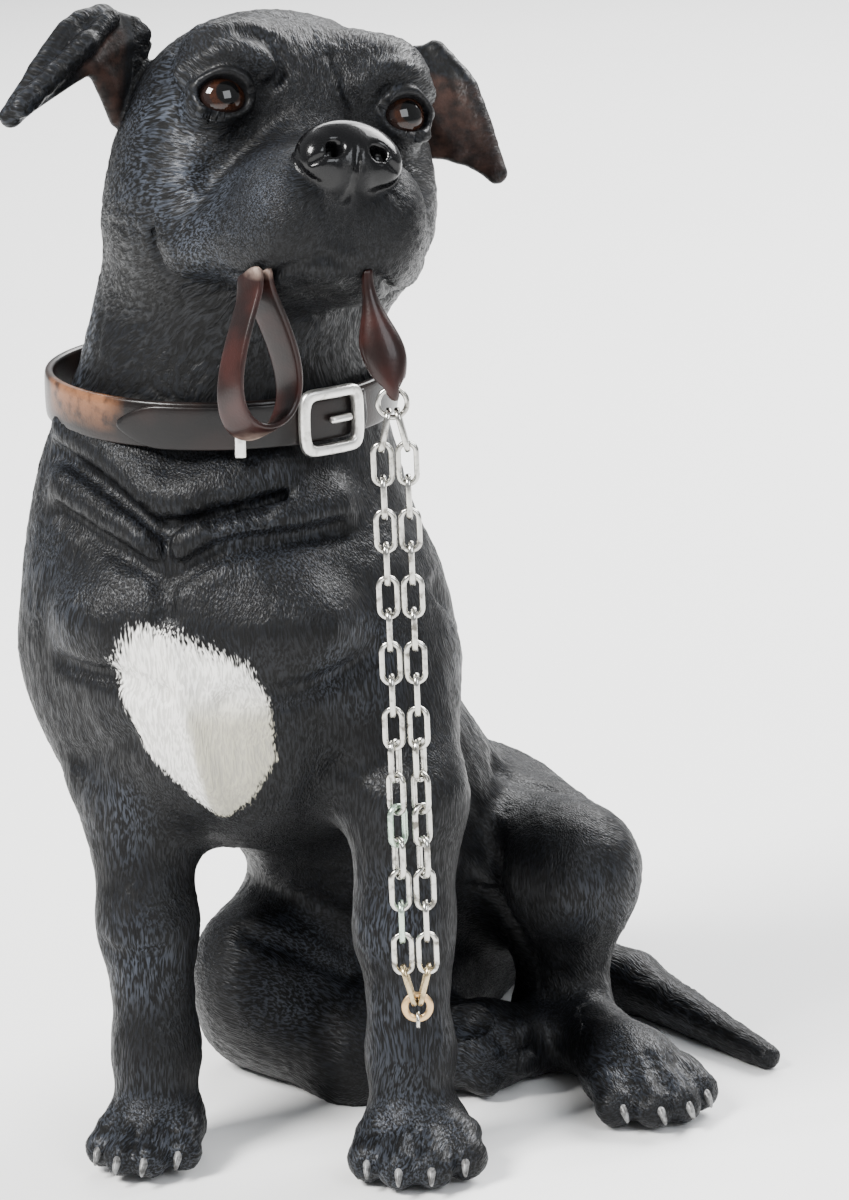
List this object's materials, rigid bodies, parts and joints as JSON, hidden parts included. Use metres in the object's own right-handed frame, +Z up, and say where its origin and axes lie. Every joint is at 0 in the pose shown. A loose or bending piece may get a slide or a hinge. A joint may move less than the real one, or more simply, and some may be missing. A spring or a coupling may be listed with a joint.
{
  "type": "sitting dog figurine with collar, lead and chain",
  "caption": "Sitting short-coated dog figurine, head turned, with a buckled collar and a folded lead and hanging chain held in its mouth.",
  "frame": {"origin": "middle of the figure's outline, on the surface that it sits on", "axes": "+Z up, the dog's chest faces -Y, its own left side is +X"},
  "size_m": [0.1642, 0.1764, 0.257],
  "materials": {
    "coat": "satin painted cold-cast resin",
    "eye": "glossy",
    "collar_strap": "glossy, a little worn",
    "lead_strap": "glossy",
    "nickel": "bright nickel",
    "silver": "silver paint, a little rough",
    "brass": "dull brass"
  },
  "bodies": {
    "figure": {"dog_casting": "coat", "eye_right": "eye", "eye_left": "eye", "collar_band": "collar_strap", "collar_tongue": "collar_strap", "collar_keeper": "silver", "buckle_frame": "silver", "buckle_prong": "silver", "lead_loop": "lead_strap", "lead_tab": "lead_strap"},
    "ring": {"jump_ring": "nickel"},
    "level_01": {"link_left_01": "nickel", "link_right_01": "nickel"},
    "level_02": {"link_left_02": "nickel", "link_right_02": "nickel"},
    "level_03": {"link_left_03": "nickel", "link_right_03": "nickel"},
    "level_04": {"link_left_04": "nickel", "link_right_04": "nickel"},
    "level_05": {"link_left_05": "nickel", "link_right_05": "nickel"},
    "level_06": {"link_left_06": "nickel", "link_right_06": "nickel"},
    "level_07": {"link_left_07": "nickel", "link_right_07": "nickel"},
    "level_08": {"link_left_08": "nickel", "link_right_08": "nickel"},
    "level_09": {"link_left_09": "nickel", "link_right_09": "nickel"},
    "level_10": {"link_left_10": "nickel", "link_right_10": "nickel"},
    "level_11": {"link_left_11": "nickel", "link_right_11": "nickel"},
    "level_12": {"link_left_12": "nickel", "link_right_12": "nickel"},
    "level_13": {"link_left_13": "nickel", "link_right_13": "nickel"},
    "level_14": {"link_left_14": "nickel", "link_right_14": "nickel"},
    "level_15": {"link_left_15": "nickel", "link_right_15": "nickel"},
    "level_16": {"link_left_16": "nickel", "link_right_16": "nickel"},
    "level_17": {"link_left_17": "nickel", "link_right_17": "nickel"},
    "level_18": {"link_left_18": "nickel", "link_right_18": "nickel"},
    "gather_washer": {"washer": "brass"},
    "last_link": {"end_link": "nickel"}
  },
  "joints": [
    {"name": "chain_swing", "type": "hinge", "parent": "figure", "child": "ring", "pos_m": [0.01888, -0.07313, 0.17932], "axis": [-0.9659, -0.2588, 0], "range_deg": [-0.5, 35]},
    {"name": "bend_01", "type": "hinge", "parent": "ring", "child": "level_01", "pos_m": [0.01888, -0.07313, 0.17302], "axis": [-0.9659, -0.2588, 0], "range_deg": [-0.1, 3]},
    {"name": "bend_02", "type": "hinge", "parent": "level_01", "child": "level_02", "pos_m": [0.01888, -0.07313, 0.16752], "axis": [-0.9659, -0.2588, 0], "range_deg": [-0.1, 3]},
    {"name": "bend_03", "type": "hinge", "parent": "level_02", "child": "level_03", "pos_m": [0.01888, -0.07313, 0.15882], "axis": [-0.9659, -0.2588, 0], "range_deg": [-0.1, 3]},
    {"name": "bend_04", "type": "hinge", "parent": "level_03", "child": "level_04", "pos_m": [0.01888, -0.07313, 0.15312], "axis": [-0.9659, -0.2588, 0], "range_deg": [-0.1, 3]},
    {"name": "bend_05", "type": "hinge", "parent": "level_04", "child": "level_05", "pos_m": [0.01888, -0.07313, 0.14442], "axis": [-0.9659, -0.2588, 0], "range_deg": [-0.1, 3]},
    {"name": "bend_06", "type": "hinge", "parent": "level_05", "child": "level_06", "pos_m": [0.01888, -0.07313, 0.13872], "axis": [-0.9659, -0.2588, 0], "range_deg": [-0.1, 3]},
    {"name": "bend_07", "type": "hinge", "parent": "level_06", "child": "level_07", "pos_m": [0.01888, -0.07313, 0.13002], "axis": [-0.9659, -0.2588, 0], "range_deg": [-0.1, 3]},
    {"name": "bend_08", "type": "hinge", "parent": "level_07", "child": "level_08", "pos_m": [0.01888, -0.07313, 0.12432], "axis": [-0.9659, -0.2588, 0], "range_deg": [-0.1, 3]},
    {"name": "bend_09", "type": "hinge", "parent": "level_08", "child": "level_09", "pos_m": [0.01888, -0.07313, 0.11562], "axis": [-0.9659, -0.2588, 0], "range_deg": [-0.1, 3]},
    {"name": "bend_10", "type": "hinge", "parent": "level_09", "child": "level_10", "pos_m": [0.01888, -0.07313, 0.10992], "axis": [-0.9659, -0.2588, 0], "range_deg": [-0.1, 3]},
    {"name": "bend_11", "type": "hinge", "parent": "level_10", "child": "level_11", "pos_m": [0.01888, -0.07313, 0.10122], "axis": [-0.9659, -0.2588, 0], "range_deg": [-0.1, 3]},
    {"name": "bend_12", "type": "hinge", "parent": "level_11", "child": "level_12", "pos_m": [0.01888, -0.07313, 0.09552], "axis": [-0.9659, -0.2588, 0], "range_deg": [-0.1, 3]},
    {"name": "bend_13", "type": "hinge", "parent": "level_12", "child": "level_13", "pos_m": [0.01888, -0.07313, 0.08832], "axis": [-0.9659, -0.2588, 0], "range_deg": [-0.1, 3]},
    {"name": "bend_14", "type": "hinge", "parent": "level_13", "child": "level_14", "pos_m": [0.01888, -0.07313, 0.07962], "axis": [-0.9659, -0.2588, 0], "range_deg": [-0.1, 3]},
    {"name": "bend_15", "type": "hinge", "parent": "level_14", "child": "level_15", "pos_m": [0.01888, -0.07313, 0.07392], "axis": [-0.9659, -0.2588, 0], "range_deg": [-0.1, 3]},
    {"name": "bend_16", "type": "hinge", "parent": "level_15", "child": "level_16", "pos_m": [0.01888, -0.07313, 0.06522], "axis": [-0.9659, -0.2588, 0], "range_deg": [-0.1, 3]},
    {"name": "bend_17", "type": "hinge", "parent": "level_16", "child": "level_17", "pos_m": [0.01888, -0.07313, 0.05952], "axis": [-0.9659, -0.2588, 0], "range_deg": [-0.1, 3]},
    {"name": "bend_18", "type": "hinge", "parent": "level_17", "child": "level_18", "pos_m": [0.01888, -0.07313, 0.05082], "axis": [-0.9659, -0.2588, 0], "range_deg": [-0.1, 3]},
    {"name": "washer_bend", "type": "hinge", "parent": "level_18", "child": "gather_washer", "pos_m": [0.01888, -0.07313, 0.04362], "axis": [-0.9659, -0.2588, 0], "range_deg": [-0.1, 3]},
    {"name": "end_bend", "type": "hinge", "parent": "gather_washer", "child": "last_link", "pos_m": [0.01888, -0.07313, 0.04182], "axis": [-0.9659, -0.2588, 0], "range_deg": [-0.1, 3]}
  ],
  "couplings": [
    {"joint": "bend_02", "follows": "bend_01", "ratio": 1},
    {"joint": "bend_03", "follows": "bend_01", "ratio": 1},
    {"joint": "bend_04", "follows": "bend_01", "ratio": 1},
    {"joint": "bend_05", "follows": "bend_01", "ratio": 1},
    {"joint": "bend_06", "follows": "bend_01", "ratio": 1},
    {"joint": "bend_07", "follows": "bend_01", "ratio": 1},
    {"joint": "bend_08", "follows": "bend_01", "ratio": 1},
    {"joint": "bend_09", "follows": "bend_01", "ratio": 1},
    {"joint": "bend_10", "follows": "bend_01", "ratio": 1},
    {"joint": "bend_11", "follows": "bend_01", "ratio": 1},
    {"joint": "bend_12", "follows": "bend_01", "ratio": 1},
    {"joint": "bend_13", "follows": "bend_01", "ratio": 1},
    {"joint": "bend_14", "follows": "bend_01", "ratio": 1},
    {"joint": "bend_15", "follows": "bend_01", "ratio": 1},
    {"joint": "bend_16", "follows": "bend_01", "ratio": 1},
    {"joint": "bend_17", "follows": "bend_01", "ratio": 1},
    {"joint": "bend_18", "follows": "bend_01", "ratio": 1},
    {"joint": "washer_bend", "follows": "bend_01", "ratio": 1},
    {"joint": "end_bend", "follows": "bend_01", "ratio": 1}
  ]
}
